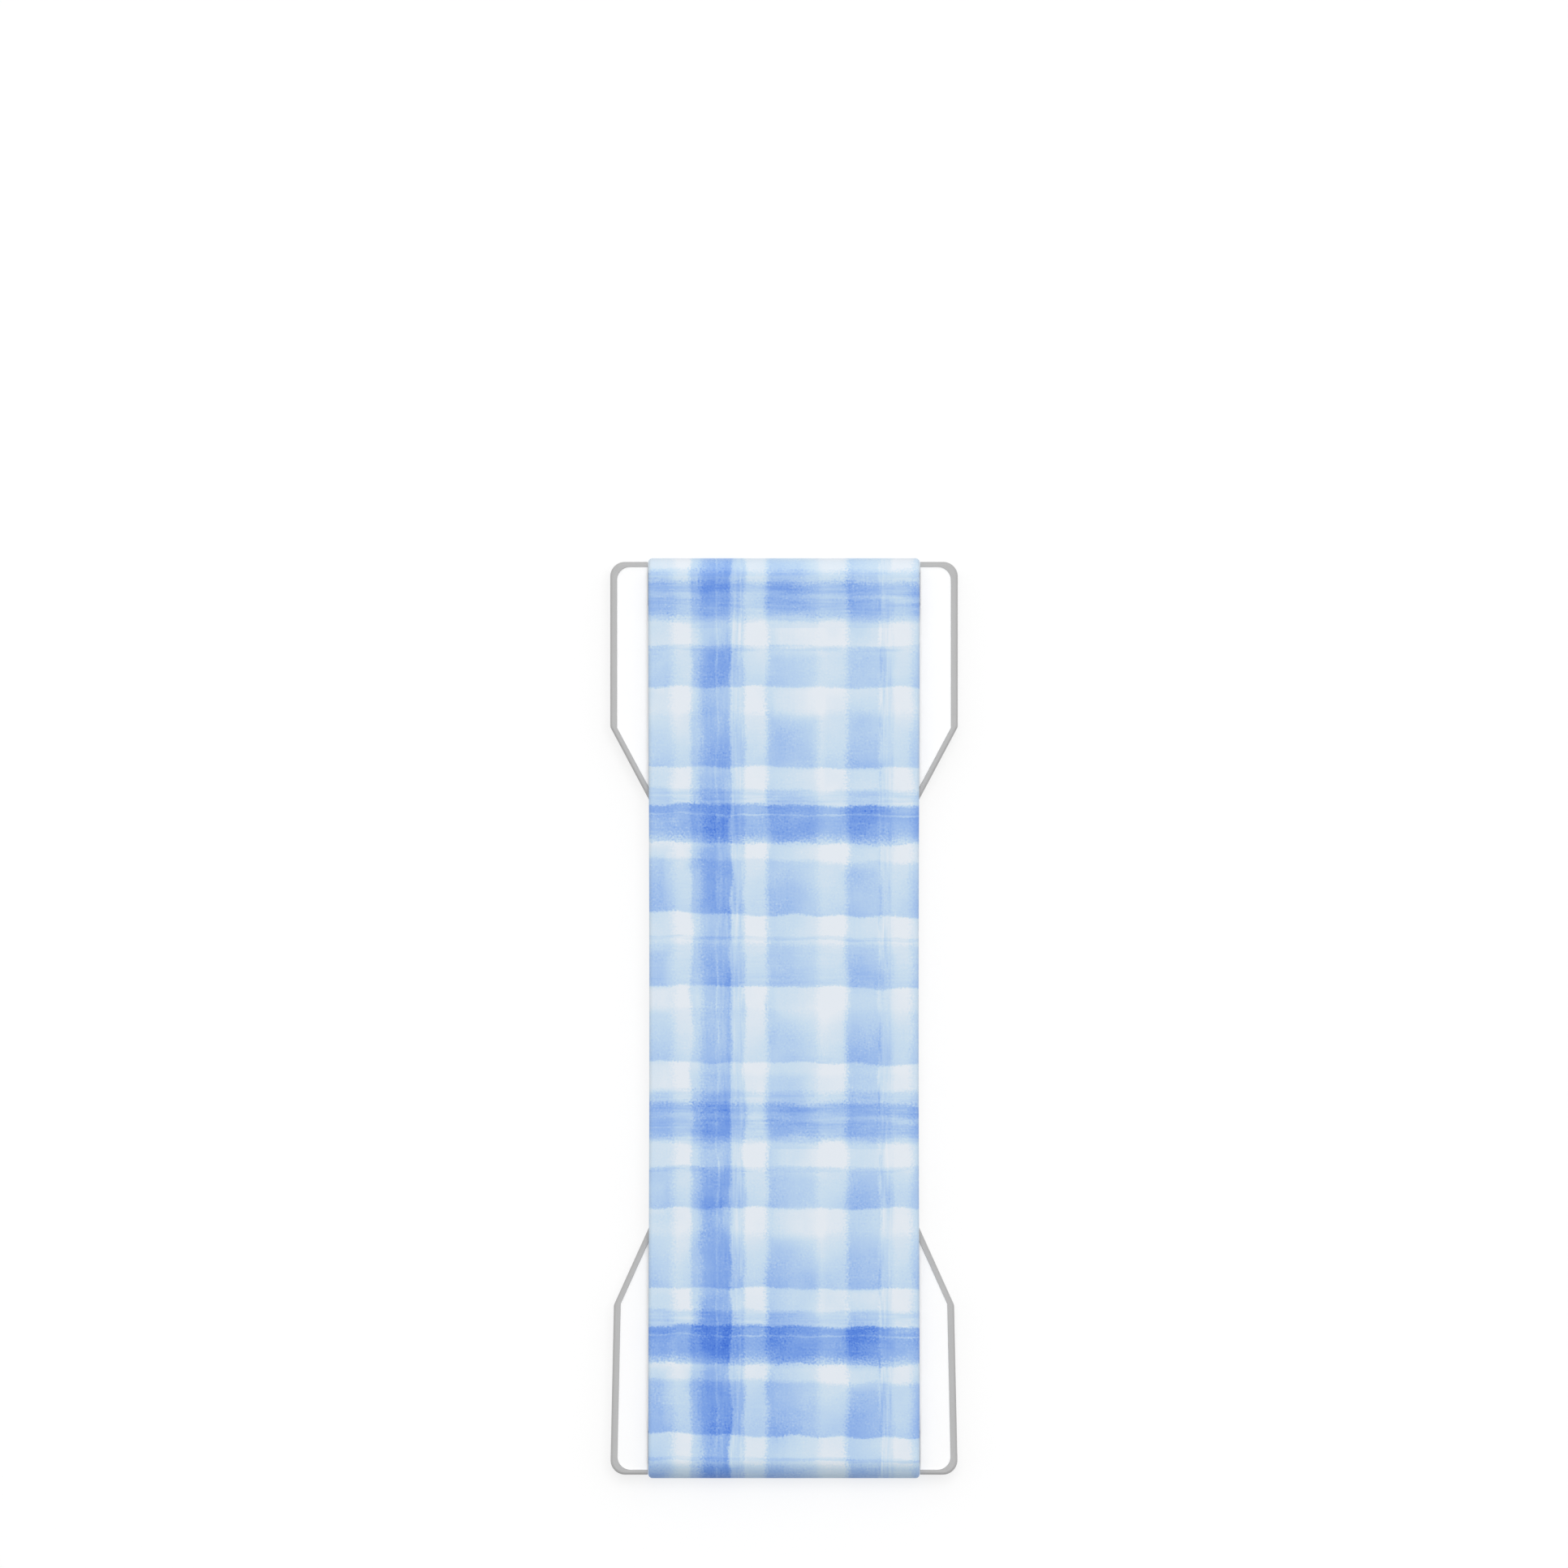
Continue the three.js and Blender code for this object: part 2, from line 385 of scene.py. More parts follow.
CROSSWISE = (
    Stripe(1.9, 2.5, 0.05, 0.05, 0.2, 0.3, 0.006, 0.7),
    Stripe(2.2, 6.5, 0.09, 0.135, 0.7, 0.3, 0.006),
    Stripe(9.3, 15.35, 0.045, 0.14, 1.2, 0.3, 0.010),
    Stripe(17.8, 23.7, 0.075, 0.12, 0.5, 0.3, 0.012, 0.06),
    Stripe(17.9, 19.4, 0.01, 0.01, 0.3, 0.3, 0.012, 3.5),
    Stripe(19.5, 23.2, 0.235, 0.185, 0.4, 1.6, 0.012),
    Stripe(20.5, 20.68, -0.1, -0.1, 0.14, 0.14, 0.008, 0.3),
    Stripe(25.6, 31.6, 0.085, 0.16, 0.6, 0.3, 0.020),
    Stripe(34.0, 34.4, 0.06, 0.06, 0.2, 0.2, 0.010, 0.7),
    Stripe(34.8, 39.5, 0.075, 0.155, 0.9, 0.3, 0.012, 0.15),
    Stripe(42.0, 47.9, 0.03, 0.13, 0.9, 0.3, 0.012),
    Stripe(51.1, 56.7, 0.10, 0.09, 0.8, 0.5, 0.006, 0.3),
    Stripe(52.4, 56.1, 0.16, 0.10, 0.9, 0.9, 0.006, 0.12),
    Stripe(53.6, 54.2, -0.06, -0.06, 0.4, 0.4, 0.020, 0.3),
)


@dataclass(frozen=True)
class Blot:
    """A soft round patch where the paper took more of the wash, or less if its strength is below 0.

    It lies at a place across the strap and down each repeat, in millimetres.
    """

    across: float
    down: float
    half_width: float
    half_height: float
    strength: float


BLOTS = (
    Blot(1.5, 1.0, 3.6, 2.6, -0.05),
    Blot(9.0, 1.0, 3.4, 2.2, -0.04),
    Blot(-8.8, 0.6, 2.5, 2.0, -0.04),
    Blot(-8.2, 4.4, 2.6, 2.8, 0.03),
    Blot(-14.6, 5.4, 1.8, 2.2, -0.04),
    Blot(-8.0, 7.6, 1.8, 2.6, 0.05),
    Blot(1.5, 8.2, 4.0, 2.2, -0.045),
    Blot(1.2, 12.9, 3.0, 3.4, 0.04),
    Blot(-14.0, 12.5, 3.2, 4.2, -0.04),
    Blot(5.6, 12.6, 1.6, 8.0, 0.035),
    Blot(8.8, 16.8, 2.4, 1.6, -0.05),
    Blot(-8.0, 17.8, 1.8, 2.0, 0.05),
    Blot(-13.6, 22.3, 2.4, 2.2, -0.07),
    Blot(8.8, 22.6, 3.0, 1.6, -0.05),
    Blot(13.6, 19.6, 2.2, 1.0, -0.06),
    Blot(1.5, 22.6, 3.2, 1.8, 0.04),
    Blot(-9.0, 25.4, 2.4, 1.6, 0.04),
    Blot(-14.4, 27.8, 1.6, 4.0, 0.06),
    Blot(8.6, 25.3, 2.6, 1.6, -0.06),
    Blot(-6.6, 29.0, 1.0, 2.4, -0.06),
    Blot(-14.6, 37.6, 2.0, 2.4, 0.06),
    Blot(-14.6, 41.0, 2.6, 1.8, -0.05),
    Blot(-14.6, 49.4, 2.6, 2.0, -0.045),
    Blot(-8.2, 42.5, 2.4, 7.5, -0.05),
    Blot(9.6, 42.5, 3.4, 7.5, 0.04),
    Blot(2.5, 44.6, 4.6, 3.6, -0.03),
    Blot(2.0, 50.4, 14.0, 1.6, 0.035),
    Blot(0.2, 52.3, 3.0, 4.2, 0.04),
)


# Each stripe, its load and the drift of its far edge read their own stretch of one noise.
SEED_STEP = 37.0
LOAD_SHIFT = 907.0
END_SHIFT = 1.5


@dataclass(frozen=True)
class PlaidPrint:
    """The strap's finish: silicone printed on its outer face with a traditional plaid in watercolour.

    Lengths are in millimetres, each scale is how many features a noise has in a millimetre, and
    spreads and shares are of the pigment.
    """

    name: str = "printed_silicone"
    repeat: float = 57.4
    repeat_top: float = 43.0
    wander: float = 0.4
    wander_scale: float = 0.2
    grit_scale: float = 4.2
    grit_in_softness: float = 0.3
    grit_floor: float = 0.03
    load_scale: float = 0.11
    load_spread: float = 0.2
    streaks_across: float = 3.2
    streaks_along: float = 0.16
    bloom_scale: float = 0.2
    bloom_spread: float = 0.12
    haze_scale: float = 0.13
    haze_spread: float = 0.03
    # Towards the strap's lower end the print is laid heavier and the bare ground darkened: partly heavier
    # pigment, partly painted shade.
    heavier_down: tuple[float, float] = (50.0, 95.0)
    heavier: tuple[float, float] = (0.98, 1.16)
    ground_share: float = 0.16
    blot_core: float = 0.45
    fleck_scale: float = 4.4
    fleck_contrast: float = 7.0
    fleck_share: float = 0.4
    mottle_scale: float = 1.1
    mottle_share: float = 0.35
    settle_scale: float = 0.3
    settle_range: tuple[float, float] = (0.4, 0.58)
    unsettled: float = 0.3
    grain_share: float = 0.55
    grain_floor: float = 0.012
    inks: tuple[tuple[float, tuple[int, int, int]], ...] = (
        (0.0, (231, 237, 244)),
        (0.05, (219, 231, 242)),
        (0.11, (204, 224, 241)),
        (0.18, (188, 213, 240)),
        (0.31, (157, 189, 237)),
        (0.44, (127, 165, 232)),
        (0.57, (96, 140, 226)),
        (0.75, (64, 111, 214)),
    )
    silicone: tuple[int, int, int] = (228, 232, 240)
    light: float = 1.08
    sheen: float = 0.025
    roughness: float = 0.62
    shine: float = 0.3

    def ink(self, colour: tuple[int, int, int]) -> tuple[float, float, float, float]:
        """Finds the colour that shows as a given one under the studio's light.

        Args:
            colour: The colour to show, from 0 to 255.

        Returns:
            The linear colour that the shader takes.
        """
        shown = (channel / self.light - self.sheen for channel in linear(*colour)[:3])
        return (*(max(channel, 0.0) / (1 - self.sheen) for channel in shown), 1.0)

    def stripe_group(self) -> bpy.types.NodeTree:
        """Builds the group that lays one stripe, with edges that wander as a loaded brush does.

        Returns:
            The group, which puts out the pigment that the stripe lays.
        """
        names = ("Across", "Along", "Streak", "Grit", "Seed", *CROSSWISE[0].feeds())
        inputs = dict.fromkeys(names, "Float")
        tree = new_group("ShaderNodeTree", "brushed_stripe", inputs, {"Pigment": "Float"})
        write = TreeWriter(tree)
        given = write.add("NodeGroupInput").outputs
        lane = write.math("MULTIPLY_ADD", given["Seed"], SEED_STEP, given["Along"])
        slope = write.math("MULTIPLY", given["Along"], given["Tilt"])
        tilted = write.math("SUBTRACT", given["Across"], slope)

        def edge(place: str, soft: str, shift: Feed) -> Socket:
            """Puts out 0 before an edge and 1 past it.

            Args:
                place: The input that says where the edge is.
                soft: The input that says how wide it fades.
                shift: How far along its wandering is read.

            Returns:
                The share that is past the edge.
            """
            drift = write.noise(self.wander_scale, 1.5, W=write.math("ADD", lane, shift))
            moved = write.math("MULTIPLY_ADD", write.math("SUBTRACT", drift, 0.5), 2 * self.wander, tilted)
            broken = write.math("MULTIPLY_ADD", given[soft], self.grit_in_softness, self.grit_floor)
            moved = write.math("MULTIPLY_ADD", given["Grit"], broken, moved)
            low = write.math("MULTIPLY_ADD", given[soft], -0.5, given[place])
            high = write.math("MULTIPLY_ADD", given[soft], 0.5, given[place])
            return write.ramp_between(moved, low, high, smooth=True)

        width = write.math("SUBTRACT", given["End"], given["Start"])
        past_end = edge("End", "End Soft", write.math("MULTIPLY", width, END_SHIFT))
        inside = write.math(
            "MULTIPLY", edge("Start", "Start Soft", 0.0), write.math("SUBTRACT", 1.0, past_end)
        )
        strengths = (given["Start Strength"], given["End Strength"])
        laid = write.ramp_between(tilted, given["Start"], given["End"], *strengths)
        place = write.math("ADD", lane, LOAD_SHIFT)
        load = write.varied(self.load_scale, 2.0, 1 - self.load_spread, 1 + self.load_spread, W=place)
        streaked = write.math("MULTIPLY_ADD", given["Streak"], given["Streaks"], 1.0)
        brushed = write.math("MULTIPLY", load, streaked)
        pigment = write.math("MULTIPLY", write.math("MULTIPLY", inside, laid), brushed)
        write.add("NodeGroupOutput", {"Pigment": pigment})
        return tree

    def lay(
        self,
        write: TreeWriter,
        group: bpy.types.NodeTree,
        stripes: Sequence[Stripe],
        across: Socket,
        along: Socket,
        streak: Socket,
        grit: Socket,
        first_seed: int,
    ) -> Socket:
        """Lays a set of stripes that run the same way.

        Args:
            write: The writer of the material's nodes.
            group: The group that lays one stripe.
            stripes: The stripes.
            across: The coordinate across them in millimetres.
            along: The coordinate along them in millimetres.
            streak: The streaks that a brush leaves along them, from -1 to 1.
            grit: The roughness of the paper, which breaks up their edges, from -1 to 1.
            first_seed: The seed of the first stripe's wandering.

        Returns:
            The pigment that they lay together.
        """
        laid = []
        for number, stripe in enumerate(stripes):
            feeds = {"Across": across, "Along": along, "Streak": streak, "Grit": grit, **stripe.feeds()}
            feeds["Seed"] = float(first_seed + number)
            laid.append(write.add("ShaderNodeGroup", feeds, node_tree=group).outputs["Pigment"])
        return write.total(laid)

    def streak_field(self, write: TreeWriter, across: Feed, along: Feed, height: float) -> Socket:
        """Makes the fine lines of a brush, long one way and narrow the other.

        Args:
            write: The writer of the material's nodes.
            across: The coordinate across the lines in millimetres.
            along: The coordinate along them in millimetres.
            height: Where the noise is cut, so that each field is its own.

        Returns:
            The lines, from -1 to 1.
        """
        narrow = write.math("MULTIPLY", across, self.streaks_across)
        long = write.math("MULTIPLY", along, self.streaks_along)
        return write.varied(1.0, 3.0, -1.0, 1.0, Vector=write.joined(X=narrow, Y=long, Z=height))

    def pigment(self, write: TreeWriter) -> Socket:
        """Adds up the plaid's pigment at each point of the strap's outer face.

        Args:
            write: The writer of the material's nodes.

        Returns:
            How much pigment lies there, from 0 for bare ground to about 0.6 where two strong stripes cross.
        """
        spot = write.parts(write.add("ShaderNodeUVMap", uv_map=Sweep.PRINT_MAP).outputs[0])
        across, along = spot["X"], spot["Y"]
        down = write.math("SUBTRACT", self.repeat_top, along)
        in_repeat = write.math("FLOORED_MODULO", down, self.repeat)
        surface = write.joined(X=across, Y=along)
        grit = write.varied(self.grit_scale, 2.0, -1.0, 1.0, Vector=surface)
        group = self.stripe_group()
        streak = self.streak_field(write, across, along, 3.0)
        lengthwise = self.lay(write, group, LENGTHWISE, across, along, streak, grit, first_seed=1)
        streak = self.streak_field(write, along, across, 8.0)
        crosswise = self.lay(write, group, CROSSWISE, in_repeat, across, streak, grit, first_seed=21)
        stripes = write.math("ADD", lengthwise, crosswise)
        blooms = (1 - self.bloom_spread, 1 + self.bloom_spread)
        bloom = write.varied(self.bloom_scale, 3.0, *blooms, Vector=surface)
        # More pigment and a darker bare ground towards the strap's lower end: partly heavier print, partly
        # painted shade.
        heavier = write.ramp_between(down, *self.heavier_down, *self.heavier)
        washes = write.math("MULTIPLY", stripes, write.math("MULTIPLY", bloom, heavier))
        blots = write.total(self.blot(write, blot, across, in_repeat) for blot in BLOTS)
        haze = write.varied(self.haze_scale, 3.0, -self.haze_spread, self.haze_spread, Vector=surface)
        ground = write.math("MULTIPLY", write.math("SUBTRACT", heavier, 1.0), self.ground_share)
        laid = write.math("MAXIMUM", write.total([washes, blots, haze, ground]), 0.0)
        return write.math("ADD", laid, self.grain(write, surface, laid))

    def grain(self, write: TreeWriter, surface: Socket, laid: Socket) -> Socket:
        """Finds the grain that the pigment dries with: fine flecks and a softer mottle.

        Args:
            write: The writer of the material's nodes.
            surface: The place on the strap in millimetres.
            laid: How much pigment lies there.

        Returns:
            How much more or less pigment there is.
        """
        speckle = write.math("SUBTRACT", write.noise(self.fleck_scale, 1.5, Vector=surface), 0.5)
        far = write.math("ABSOLUTE", speckle)
        sharper = write.math("MULTIPLY_ADD", far, self.fleck_contrast, self.fleck_share)
        mottle = write.math("SUBTRACT", write.noise(self.mottle_scale, Vector=surface), 0.5)
        flecks = write.math("MULTIPLY", speckle, sharper)
        grains = write.math("MULTIPLY_ADD", mottle, self.mottle_share, flecks)
        settling = write.noise(self.settle_scale, Vector=surface)
        settled = write.ramp_between(settling, *self.settle_range, self.unsettled, 1.0)
        held = write.math("MULTIPLY", laid, settled)
        shown = write.math("MULTIPLY_ADD", held, self.grain_share, self.grain_floor)
        return write.math("MULTIPLY", grains, shown)

    def blot(self, write: TreeWriter, blot: Blot, across: Socket, down: Socket) -> Socket:
        """Lays one blot.

        Args:
            write: The writer of the material's nodes.
            blot: The blot.
            across: The coordinate across the strap in millimetres.
            down: The coordinate down the repeat in millimetres.

        Returns:
            The pigment that it adds.
        """
        x, y, wide, tall = blot.across, blot.down, blot.half_width, blot.half_height
        aside = write.math("ABSOLUTE", write.ramp_between(across, x - wide, x + wide, -1.0, 1.0))
        below = write.math("ABSOLUTE", write.ramp_between(down, y - tall, y + tall, -1.0, 1.0))
        away = write.math("MAXIMUM", aside, below)
        return write.ramp_between(away, self.blot_core, 1.0, blot.strength, 0.0, smooth=True)

    def material(self) -> bpy.types.Material:
        """Builds the material.

        Returns:
            The print on the outer face, fading to bare silicone round the edges.
        """
        material, write, shader = new_material(self.name)
        MouldGrain().place(write, shader, size=0.12, depth=0.004, roughness=self.roughness, spread=0.1)
        inks = write.add("ShaderNodeValToRGB", {"Fac": self.pigment(write)})
        ramp = inks.color_ramp
        while len(ramp.elements) < len(self.inks):
            ramp.elements.new(1.0)
        for element, (place, colour) in zip(ramp.elements, self.inks):
            element.position = place
            element.color = self.ink(colour)
        printed = write.add("ShaderNodeAttribute", attribute_name=Sweep.PRINTED).outputs["Fac"]
        mixed = write.blend(printed, self.ink(self.silicone), inks.outputs["Color"])
        write.feed(shader.inputs["Base Color"], mixed)
        shader.inputs["Specular IOR Level"].default_value = self.shine
        return material


# Mesh making


def new_object(name: str, mesh: bpy.types.Mesh) -> bpy.types.Object:
    """Puts a mesh in the scene as an object at the origin.

    Args:
        name: The object's name.
        mesh: Its mesh.

    Returns:
        The object.
    """
    made = bpy.data.objects.new(name, mesh)
    bpy.context.scene.collection.objects.link(made)
    return made


def bake_modifiers(piece: bpy.types.Object) -> None:
    """Turns what a piece's modifiers make into its plain mesh, and removes them.

    Args:
        piece: The piece.
    """
    bpy.context.view_layer.update()
    graph = bpy.context.evaluated_depsgraph_get()
    mesh = bpy.data.meshes.new_from_object(
        piece.evaluated_get(graph), preserve_all_data_layers=True, depsgraph=graph
    )
    mesh.name = piece.name
    piece.modifiers.clear()
    piece.data = mesh


@contextmanager
def edited(mesh: bpy.types.Mesh) -> Iterator[bmesh.types.BMesh]:
    """Opens a mesh for a change, then turns its faces outwards and writes it back.

    Args:
        mesh: The mesh.

    Yields:
        The mesh as it can be changed.
    """
    work = bmesh.new()
    work.from_mesh(mesh)
    yield work
    bmesh.ops.recalc_face_normals(work, faces=work.faces)
    work.to_mesh(mesh)
    work.free()


def combine(piece: bpy.types.Object, tool: bpy.types.Object, operation: str) -> None:
    """Cuts a piece with a tool or joins the tool to it, and removes the tool.

    Args:
        piece: The piece.
        tool: The other solid.
        operation: DIFFERENCE or UNION.
    """
    modifier = piece.modifiers.new(operation.lower(), "BOOLEAN")
    modifier.operation = operation
    modifier.solver = "EXACT"
    modifier.object = tool
    bake_modifiers(piece)
    bpy.data.objects.remove(tool)


def clean_mesh(piece: bpy.types.Object, flat_angle: float = 0.2) -> None:
    """Merges doubles and flat faces that a cut left split, and turns all faces outwards.

    Args:
        piece: The piece, whose mesh is changed.
        flat_angle: How many degrees two faces may differ by and still be one.
    """
    with edited(piece.data) as work:
        bmesh.ops.remove_doubles(work, verts=work.verts, dist=SAME_PLACE)
        bmesh.ops.dissolve_limit(
            work,
            angle_limit=math.radians(flat_angle),
            use_dissolve_boundaries=False,
            verts=work.verts,
            edges=work.edges,
            delimit={"MATERIAL"},
        )


def finish_edges(piece: bpy.types.Object, width: float, sharper_than: float = 50) -> None:
    """Rounds a piece's sharp edges and shades it smooth with its flat faces kept flat.

    Args:
        piece: The piece, whose modifiers are applied.
        width: The width of the rounding in millimetres.
        sharper_than: The least angle of an edge that is rounded, in degrees.
    """
    bevel = piece.modifiers.new("edges", "BEVEL")
    bevel.width = width * MM
    bevel.segments = 3
    bevel.limit_method = "ANGLE"
    bevel.angle_limit = math.radians(sharper_than)
    bevel.use_clamp_overlap = True
    piece.data.shade_smooth()
    piece.modifiers.new("weld", "WELD").merge_threshold = WELD_REACH
    weigh = piece.modifiers.new("weigh", "WEIGHTED_NORMAL")
    weigh.keep_sharp = False
    bake_modifiers(piece)


class Side(Enum):
    """The kinds of straight side that the plate's outline has."""

    EAR = "ear"
    END = "end"
    TAPER = "taper"
    WAIST = "waist"


@dataclass(frozen=True)
class Corner:
    """A corner of an outline, with the radius that rounds it and the side that leads on from it."""

    x: float
    y: float
    radius: float
    side: Side


def offset_corners(corners: Sequence[Corner], inset_of: Callable[[Side], float]) -> list[Corner]:
    """Moves each side of an anticlockwise outline inwards by its own distance.

    Args:
        corners: The outline.
        inset_of: How far each kind of side moves.

    Returns:
        The new corners, whose radii shrink where the outline is convex and grow where it isn't.
    """
    lines = []
    for corner, following in zip(corners, [*corners[1:], corners[0]]):
        along = (Vector((following.x, following.y)) - Vector((corner.x, corner.y))).normalized()
        inward = Vector((-along.y, along.x))
        lines.append((along, Vector((corner.x, corner.y)) + inward * inset_of(corner.side)))
    moved = []
    for number, corner in enumerate(corners):
        (along_in, through_in), (along_out, through_out) = lines[number - 1], lines[number]
        apart = through_out - through_in
        turn = along_in.x * along_out.y - along_in.y * along_out.x
        share = (apart.x * along_out.y - apart.y * along_out.x) / turn
        at = through_in + along_in * share
        change = -inset_of(corner.side) if turn > 0 else inset_of(corner.side)
        moved.append(Corner(at.x, at.y, max(corner.radius + change, 0.05), corner.side))
    return moved


def rounded_points(corners: Sequence[Corner], steps: int) -> list[Vector]:
    """Lists the points of an outline whose corners are rounded.

    Args:
        corners: The outline, anticlockwise.
        steps: How many straight steps each corner takes.

    Returns:
        The points, as many for each outline with as many corners.
    """
    points = []
    for number, corner in enumerate(corners):
        at = Vector((corner.x, corner.y))
        before, after = corners[number - 1], corners[(number + 1) % len(corners)]
        back = (Vector((before.x, before.y)) - at).normalized()
        on = (Vector((after.x, after.y)) - at).normalized()
        half = back.angle(on) / 2
        centre = at + (back + on).normalized() * (corner.radius / math.sin(half))
        start = at + back * (corner.radius / math.tan(half)) - centre
        sweep = (math.pi - 2 * half) * (-1 if back.x * on.y - back.y * on.x > 0 else 1)
        for step in range(steps + 1):
            turn = sweep * step / steps
            spoke = Vector(
                (
                    start.x * math.cos(turn) - start.y * math.sin(turn),
                    start.x * math.sin(turn) + start.y * math.cos(turn),
                )
            )
            points.append(centre + spoke)
    return points


@dataclass(frozen=True)
class Ring:
    """One level of a lofted solid: an outline at a height, and the finish of the band up to the next."""

    points: Sequence[Vector]
    z: float
    finish: int = 0


def loft(
    name: str,
    rings: Sequence[Ring],
    finishes: Sequence[bpy.types.Material] = (),
    axes: tuple[int, int, int] = (0, 1, 2),
) -> bpy.types.Object:
    """Makes a closed solid through a stack of rings.

    Args:
        name: The object's name.
        rings: The rings, each with the same number of points.
        finishes: The materials that the rings number.
        axes: Which of a point's X, its Y and its ring's height goes on each of the object's axes.

    Returns:
        The object.
    """
    mesh = bpy.data.meshes.new(name)
    for finish in finishes:
        mesh.materials.append(finish)
    with edited(mesh) as work:
        levels = []
        for ring in rings:
            places = ((point.x, point.y, ring.z) for point in ring.points)
            levels.append([work.verts.new([place[axis] * MM for axis in axes]) for place in places])
        count = len(levels[0])
        for ring, lower, upper in zip(rings, levels, levels[1:]):
            for i in range(count):
                j = (i + 1) % count
                work.faces.new((lower[i], lower[j], upper[j], upper[i])).material_index = ring.finish
        work.faces.new(list(reversed(levels[0])))
        work.faces.new(levels[-1])
    return new_object(name, mesh)


def quarter(steps: int) -> list[tuple[float, float]]:
    """Lists the sine and cosine of evenly spaced angles from 0 to 90 degrees."""
    angles = [math.pi / 2 * step / steps for step in range(steps + 1)]
    return [(math.sin(angle), math.cos(angle)) for angle in angles]


# The strap


@dataclass(frozen=True)
class HookSizes:
    """The sizes, in millimetres, that the strap's hooks and the plate's crossbars share."""

    band_thickness: float = 1.3
    bar_thickness: float = 1.1
    bar_width: float = 3.6
    bar_gap: float = 0.3
    lip_gap: float = 0.3
    turn_angle: float = 75.0

    @property
    def inner_radius(self) -> float:
        """The radius of the fold's inside."""
        return self.bar_thickness / 2 + self.bar_gap

    @property
    def outer_radius(self) -> float:
        """The radius of the fold's outside."""
        return self.inner_radius + self.band_thickness

    @property
    def middle_radius(self) -> float:
        """The radius of the middle of the band's thickness in the fold."""
        return self.inner_radius + self.band_thickness / 2

    @property
    def bar_z(self) -> float:
        """The height of the crossbar's middle."""
        return self.lip_gap + self.outer_radius


@dataclass(frozen=True)
class PathPoint:
    """A point of the band's middle line, seen from the side.

    outer is the distance from the strap's middle along its outer face, and tip is how far the
    point is past the start of the hook's rounded end.
    """

    y: float
    z: float
    outer: float
    tip: float = 0.0


# The heights, from the middle of the band's thickness in millimetres, between which the print fades in.
PRINT_FADE = (-0.25, 0.1)


